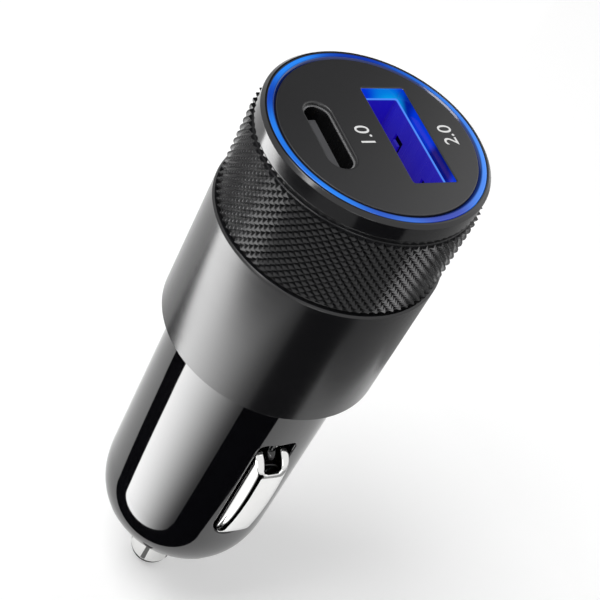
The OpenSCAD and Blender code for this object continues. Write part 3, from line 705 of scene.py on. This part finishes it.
def numeral(text, x):
    """A plain printed number on the face, read along the plug's Y axis."""
    y, height, thick, bolder, lift = -0.2, 2.3, 0.008, 0.005, 0.006
    curve = bpy.data.curves.new("numeral", "FONT")
    curve.body, curve.size, curve.extrude, curve.offset = text, height, thick, bolder
    curve.align_x, curve.align_y = "CENTER", "CENTER"
    flat = new_object("numeral_holder", curve)
    bpy.context.view_layer.update()
    mesh = bpy.data.meshes.new_from_object(
        flat.evaluated_get(bpy.context.evaluated_depsgraph_get()))
    bpy.data.objects.remove(flat)
    mesh.transform(Matrix.Scale(MM, 4) @ Matrix.Translation((x, y, face_z + lift))
                   @ Matrix.Rotation(math.radians(90), 4, "Z"))
    obj = new_object("numeral_" + text[0], mesh)
    clean(obj)
    obj.data.materials.clear()
    obj.data.materials.append(print_finish)
    finish_piece(obj, charger, (), print_angle)


def radius_at(z):
    """Outside radius of the plug body above its nose."""
    share = max(0.0, (-land_len - z) / (-land_len - nose_z))
    return barrel_r + (nose_r - barrel_r) * share


def window_loop(grow):
    """Outline of a window in (x, z), with as many points for every grow."""
    side_steps, head_steps, foot_steps, corner_steps = 14, 8, 36, 8
    mid, top = window_low_z + window_half, window_top_z - window_corner_r
    wide, corner = window_half + grow, window_corner_r + grow
    inner = window_half - window_corner_r
    sides = [mid + (top - mid) * i / side_steps for i in range(1, side_steps)]
    head = [(inner * (1 - 2 * i / head_steps), window_top_z + grow) for i in range(1, head_steps)]

    def arc(cx, cz, r, start, end, steps):
        angles = [math.radians(start + (end - start) * i / steps) for i in range(steps + 1)]
        return [(cx + r * math.cos(a), cz + r * math.sin(a)) for a in angles]

    return (arc(0, mid, wide, 180, 360, foot_steps) + [(wide, z) for z in sides]
            + arc(inner, top, corner, 0, 90, corner_steps) + head
            + arc(-inner, top, corner, 90, 180, corner_steps)
            + [(-wide, z) for z in reversed(sides)])


def in_window(x, z, grow):
    """Whether a place on the wall lies in a window that is grown by so much."""
    mid, top = window_low_z + window_half, window_top_z - window_corner_r
    if z < mid:
        return math.hypot(x, z - mid) < window_half + grow
    over = max(abs(x) - window_half + window_corner_r, 0)
    return math.hypot(over, max(z - top, 0)) < window_corner_r + grow


def barrel():
    """The plated body: a turned form with round-edged windows and the stop tongues."""
    skin = Skin()
    edge, middles = 0.22, (90, 270)
    land_rows, taper_rows, inner_rows, nose_rows, inner_nose_rows = 6, 26, 9, 44, 16
    # The wall is unrolled to (u, z) to be filled, so many units to a degree round the axis.
    # Nearer than bare to a window, only the window's own loops have points
    per_degree, bare = 0.18, 0.18

    def place(u, z, radius):
        a = math.radians(u / per_degree)
        return radius * math.cos(a), radius * math.sin(a), z

    def along(x, middle, radius):
        return (middle + math.degrees(math.asin(x / radius))) * per_degree

    def clear(u, z, radius, grow):
        for middle in middles:
            a = math.radians(u / per_degree - middle)
            if math.cos(a) > 0 and in_window(radius * math.sin(a), z, grow):
                return False
        return True

    def wall(radius_of, rows, grow):
        spots = [(360 / sides_round * i * per_degree, z) for z in rows
                 for i in range(sides_round + 1)]
        spots = [s for s in spots if clear(*s, radius_of(s[1]), grow + bare)]
        loops = [[(along(x, middle, radius_of(z)), z) for x, z in window_loop(grow)]
                 for middle in middles]
        skin.sheet(spots, loops, lambda u, z: clear(u, z, radius_of(z), grow),
                   lambda u, z: place(u, z, radius_of(z)))

    def window_row(middle, grow, radius_of):
        return [place(along(x, middle, radius_of(z)), z, radius_of(z))
                for x, z in window_loop(grow)]

    def heights(start, end, steps):
        return [start + (end - start) * i / steps for i in range(steps + 1)]

    outside = heights(0, -land_len, land_rows) + heights(-land_len, nose_z, taper_rows)[1:]
    wall(radius_at, outside, edge + near_edge)
    wall(lambda z: barrel_in_r, heights(barrel_bore_z, nose_z, inner_rows), 0)
    for middle in middles:
        rows = [window_row(middle, g, lambda z, d=d: radius_at(z) - d) for g, d in quarter(edge)]
        skin.strip(rows + [window_row(middle, 0, lambda z: barrel_in_r)])

    def nose(radius, end_r, span, steps):
        last = (1 - (end_r / radius) ** 2) ** (1 / nose_power)
        turns = [last * math.sin(math.pi / 2 * i / steps) for i in range(steps + 1)]
        return [(radius * math.sqrt(1 - u ** nose_power), nose_z - span / last * u) for u in turns]

    skin.turned([(barrel_r, 0), (barrel_r + 0.05, cup_low_z), (cup_r, cup_low_z),
                 (cup_r, cup_top_z), (cup_rim_r, cup_top_z), (cup_rim_r, cup_ledge_z),
                 (cup_in_r, cup_ledge_z), (cup_in_r, cup_floor_z), (barrel_in_r, barrel_bore_z)])
    # The boss's rounded end, from its outside to the hole for the tip
    boss_end = [(boss_r, boss_z + 0.25), (boss_r - 0.03, boss_z + 0.13),
                (boss_r - 0.1, boss_z + 0.05), (boss_r - 0.22, boss_z),
                (tip_hole_r + 0.15, boss_z), (tip_hole_r + 0.04, boss_z + 0.04),
                (tip_hole_r, boss_z + 0.15)]
    skin.turned(nose(nose_r, boss_r, nose_len, nose_rows) + boss_end
                + [(tip_hole_r, pocket_z), (pocket_r, pocket_z), (pocket_r, guide_top_z),
                   (guide_r, guide_top_z)]
                + nose(barrel_in_r, guide_r, nose_z - cavity_z, inner_nose_rows)[::-1])
    for turn in (1, -1):
        stop_tongue(skin, turn)
    skin.piece("plug_body_plated", finishes["plated_black"], "plated_black", moulded_angle,
               stands_for=["barrel_housing"])


def stop_tongue(skin, turn):
    """The tongue that hangs into the head end of a window, with its domed end."""
    dome_r, dome_y, inner, root = 0.65, 9.7, 9.0, 0.6
    half, thinnest, base, steps = 0.55, 0.02, 9.45, 12
    # Heights down the tongue, and how far out its crest lies at each
    sections = [(z, half, out) for z, out in (
        (window_top_z + root, 9.72), (window_top_z, 9.72), (-9.2, 9.72), (-9.9, 9.74))]
    for k in range(steps + 1):
        a = math.radians(25 + 155 * k / steps)
        rise = dome_r * math.sin(a)
        wide = max(half, rise) if a < math.pi / 2 else rise
        sections.append((stop_dome_z + dome_r * math.cos(a), max(wide, thinnest), dome_y + rise))
    rows = []
    for z, wide, out in sections:
        crest = [(wide * math.cos(math.pi * i / steps),
                  base + (out - base) * math.sin(math.pi * i / steps)) for i in range(steps + 1)]
        row = [(wide, inner)] + crest + [(-wide, inner)]
        rows.append([(turn * x, -turn * y, z) for x, y in row])
    skin.strip(rows)
    skin.cap(rows[0])
    skin.cap(rows[-1])


def tip_contact():
    """The turned centre contact: a domed end, a shank, and the flange that keeps it in."""
    dome_z, steps, root, chamfer = tip_end_z + tip_r, 24, 0.1, 0.12
    turns = [math.pi / 2 * i / steps for i in range(steps + 1)]
    dome = [(tip_r * math.sin(a), dome_z - tip_r * math.cos(a)) for a in turns]
    shank = [(tip_r, tip_shank_z), (tip_r, flange_z - root), (tip_r + root, flange_z),
             (flange_r - chamfer, flange_z), (flange_r, flange_z + chamfer),
             (flange_r, flange_z + (flange_t - chamfer)),
             (flange_r - chamfer, flange_z + flange_t), (0, flange_z + flange_t)]
    turned_piece("tip_contact_plated", dome + shank, finishes["nickel"], "nickel", body="tip",
                 stands_for=["tip_contact"])


def side_contact(side):
    """The CAD sheet of a side contact, with worn edges and a crest bowed as it is pressed."""
    bow, crown, base, rise, voxel_m = 0.6, 0.25, 8.7, 1.8, 0.00009
    node = "side_contact_" + side
    obj = new_object(node + "_plated", frame["nodes"][node].data.copy())
    clean(obj)
    remesh = obj.modifiers.new("round", "REMESH")
    remesh.mode, remesh.voxel_size = "VOXEL", voxel_m
    ease = obj.modifiers.new("ease", "SMOOTH")
    ease.factor, ease.iterations = 0.5, 8
    applied(obj)
    for vert in obj.data.vertices:
        x, y, z = (c / MM for c in vert.co)
        share = min(max((abs(y) - base) / rise, 0), 1)
        fall = (bow * ((z - contact_mid_z) / contact_half_len) ** 2
                + crown * abs(x / contact_half) ** 3)
        vert.co.y -= math.copysign(fall * share * share * (3 - 2 * share) * MM, y)
    obj.data.materials.clear()
    obj.data.materials.append(finishes["nickel"])
    finish_piece(obj, "side_" + side, [node], strip_angle)


def spring(node):
    """A coil spring with round wire."""
    obj = new_object(node + "_coil", frame["nodes"][node].data.copy())
    clean(obj)
    round_wire = obj.modifiers.new("round", "SUBSURF")
    round_wire.levels = round_wire.render_levels = 1
    applied(obj)
    obj.data.materials.clear()
    obj.data.materials.append(finishes["spring_steel"])
    finish_piece(obj, charger, [node], strip_angle)
    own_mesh(obj)


head_sleeve()
knurl()
light_ring()
face_plate()
numeral("1.0", -1.63)
numeral("2.0", 8.1)
barrel()
tip_contact()
side_contact("front")
side_contact("back")
spring("tip_spring")
spring("side_spring_front")
spring("side_spring_back")


def floor():
    """The pale floor, which camera and reflections see as white."""
    half, gap = 3.0, 0.0001
    low = tip_end_z * MM - gap
    mesh = bpy.data.meshes.new("floor")
    mesh.from_pydata([(-half, -half, low), (half, -half, low), (half, half, low),
                      (-half, half, low)], [], [(0, 1, 2, 3)])
    f = Finish("floor_white", (0.9, 0.9, 0.9), 0.9)
    ray = f.node("ShaderNodeLightPath", {}, {}, "Is Camera Ray")
    glossy = f.node("ShaderNodeLightPath", {}, {}, "Is Glossy Ray")
    f.set(base_color=f.mix(f.noise(3), (0.88, 0.88, 0.88), (0.92, 0.92, 0.92)),
          emission_color=(1.0, 1.0, 1.0), emission_strength=0.2 * ray.maths("MAXIMUM", glossy))
    mesh.materials.append(f.material)
    new_object("floor", mesh)


def card(name, corners, strength):
    """A flat sheet that lights or darkens reflections alone. Its corners are in millimetres."""
    mesh = bpy.data.meshes.new(name)
    mesh.from_pydata([tuple(c * MM for c in p) for p in corners], [], [tuple(range(len(corners)))])
    f = Finish(name, (0.0, 0.0, 0.0), 1.0)
    f.set(emission_color=(1.0, 1.0, 1.0), emission_strength=strength(f), specular_ior_level=0.0)
    mesh.materials.append(f.material)
    obj = new_object(name, mesh)
    obj.visible_camera = obj.visible_diffuse = obj.visible_shadow = False


def turned_by(degrees, along, aside):
    """A place so far along a bearing on the floor, and so far to its left."""
    a = math.radians(degrees)
    return Vector((along * math.cos(a) - aside * math.sin(a),
                   along * math.sin(a) + aside * math.cos(a)))


def sector(start, end, near, far, steps):
    """A flat outline between two bearings and two distances from the plug's axis."""
    turns = [start + (end - start) * i / steps for i in range(steps + 1)]
    return [turned_by(a, far, 0) for a in turns] + [turned_by(a, near, 0) for a in reversed(turns)]


def floor_card(name, corners, lift, strength):
    """A card that lies so far above the floor's level."""
    card(name, [(*p, tip_end_z + lift) for p in corners], strength)


def floor_cards():
    """Sheets that the plug's sides reflect. The dark one and the bright wedge on it draw the
    stripes down the plated body, one more dims the right edge, and small ones line the tip."""
    reach = 240
    dark_facing, dark_from = 210, 13.4
    floor_card("card_dark", [turned_by(dark_facing, u, v) for u, v in (
        (dark_from, -reach), (reach, -reach), (reach, reach), (dark_from, reach))],
        0.1, lambda f: 0.0)

    point, middle, half = Vector((-8.3, -7.4)), 197, 50.5
    near_left, near_right, peak, last = 19.5, 15.8, 9.0, 0.35
    widens_from, widens_by = 50, 36
    fade_from, fade_to, far_from, far_to, narrowing, turning = -42, 54, 55, 80, 1.6, 125

    def fading(f):
        """Bright at the wedge's left edge and dim at its right, over fewer degrees far away."""
        x, y, a = f.x - point.x, f.y - point.y, math.radians(middle)
        along = x * math.cos(a) + y * math.sin(a)
        aside = y * math.cos(a) - x * math.sin(a)
        turn = aside.maths("ARCTAN2", along) * (180 / math.pi)
        turn = turn + (turn * narrowing + turning) * along.smooth(far_from, far_to)
        return last + (peak - last) * (1 - turn.smooth(fade_from, fade_to))

    floor_card("card_bright", [point + turned_by(middle + turn, along, 0) for turn, along in (
        (-half, near_left), (-half, widens_from), (-half - widens_by, reach), (half, reach),
        (half, near_right))], 0.2, fading)
    floor_card("card_right", sector(290, 400, 66, reach, 2), 0.12, lambda f: 0.35)
    # Bearings, distances from the axis, and level, of the tip's middle line, sides and end
    for k, (start, end, near, far, level) in enumerate((
            (214, 232, 3.0, 8.0, 0.15), (318, 398, 3.0, 8.0, 0.0), (52, 130, 3.0, 8.0, 0.0),
            (120, 330, 1.2, 2.8, 0.05))):
        floor_card("card_tip_%d" % (k + 1), sector(start, end, near, far, 8), 0.15,
                   lambda f, level=level: level)


def facing_card(name, towards, start, distance, half, strength):
    """A square sheet in the air, so far along a direction from a place, that faces back."""
    across = Vector((-towards.y, towards.x, 0)).normalized()
    upward = towards.cross(across)
    middle = Vector(start) + towards * distance
    corners = [middle + (across * u + upward * v) * half
               for u, v in ((-1, -1), (1, -1), (1, 1), (-1, 1))]
    card(name, [tuple(p) for p in corners], strength)


def air_cards(view):
    """The face reflects a dark sheet that pales to one side, and small edges a bright one."""
    facing_card("card_face", Vector((-view.x, -view.y, view.z)), (0, 0, face_z), 70, 75,
                lambda f: 0.04 + 1.7 * (f.x - f.y).smooth(-10, 45))
    spark = Vector((-0.38, -0.82, 0.42)).normalized()
    facing_card("card_spark", spark, (0, 0, 0), 170, 34, lambda f: 6.0)


def studio():
    """Even light all round, a lamp on each side, and the floor's sheets. Camera and reflections
    see the world as white, and everything else gets less of it."""
    unseen, white = 0.45, 1.0
    world = bpy.data.worlds.new("room")
    bpy.context.scene.world = world
    world.use_nodes = True
    tree = world.node_tree
    shade = tree.nodes["Background"]
    shade.inputs["Color"].default_value = (1, 1, 1, 1)
    path, seen, level = (tree.nodes.new(kind) for kind in (
        "ShaderNodeLightPath", "ShaderNodeMath", "ShaderNodeMapRange"))
    seen.operation = "MAXIMUM"
    tree.links.new(path.outputs["Is Camera Ray"], seen.inputs[0])
    tree.links.new(path.outputs["Is Glossy Ray"], seen.inputs[1])
    tree.links.new(seen.outputs[0], level.inputs["Value"])
    level.inputs["To Min"].default_value, level.inputs["To Max"].default_value = unseen, white
    tree.links.new(level.outputs[0], shade.inputs["Strength"])

    aim = Vector((0, 0, -0.002))
    # Place and width in metres, and power in watts
    for name, x, y, z, size, power in (
            ("key_left", -0.21, 0.03, 0.40, 0.22, 1.35),
            ("sheen_right", 0.26, 0.10, 0.22, 0.30, 0.18)):
        lamp = bpy.data.lights.new(name, "AREA")
        lamp.shape, lamp.size, lamp.energy = "SQUARE", size, power
        obj = new_object(name, lamp)
        obj.location = (x, y, z)
        obj.rotation_euler = (aim - obj.location).to_track_quat("-Z", "Y").to_euler()

    floor_cards()


def camera():
    """Stands where the photograph was taken, and gives the direction from the plug to it."""
    azimuth, elevation, roll = (math.radians(v) for v in (-43.9, 43.11, 29.13))
    aim_z, distance, picture_width, picture_shift = 4.67, 161.06, 600, 13.2
    back = Vector((math.sin(azimuth) * math.cos(elevation),
                   -math.cos(azimuth) * math.cos(elevation), math.sin(elevation)))
    across = Vector((math.cos(azimuth), math.sin(azimuth), 0))
    upward = back.cross(across)
    right = across * math.cos(roll) + upward * math.sin(roll)
    up = upward * math.cos(roll) - across * math.sin(roll)
    obj = new_object("camera", bpy.data.cameras.new("camera"))
    place = Vector((0, 0, aim_z * MM)) + back * distance * MM
    obj.matrix_world = Matrix((
        (right.x, up.x, back.x, place.x), (right.y, up.y, back.y, place.y),
        (right.z, up.z, back.z, place.z), (0, 0, 0, 1)))
    obj.data.lens, obj.data.sensor_width = 90.18, 36
    obj.data.shift_x = picture_shift / picture_width
    obj.data.clip_start, obj.data.clip_end = 0.001, 20
    bpy.context.scene.camera = obj
    return back


floor()
studio()
air_cards(camera())
bpy.context.scene.view_settings.view_transform = "Standard"
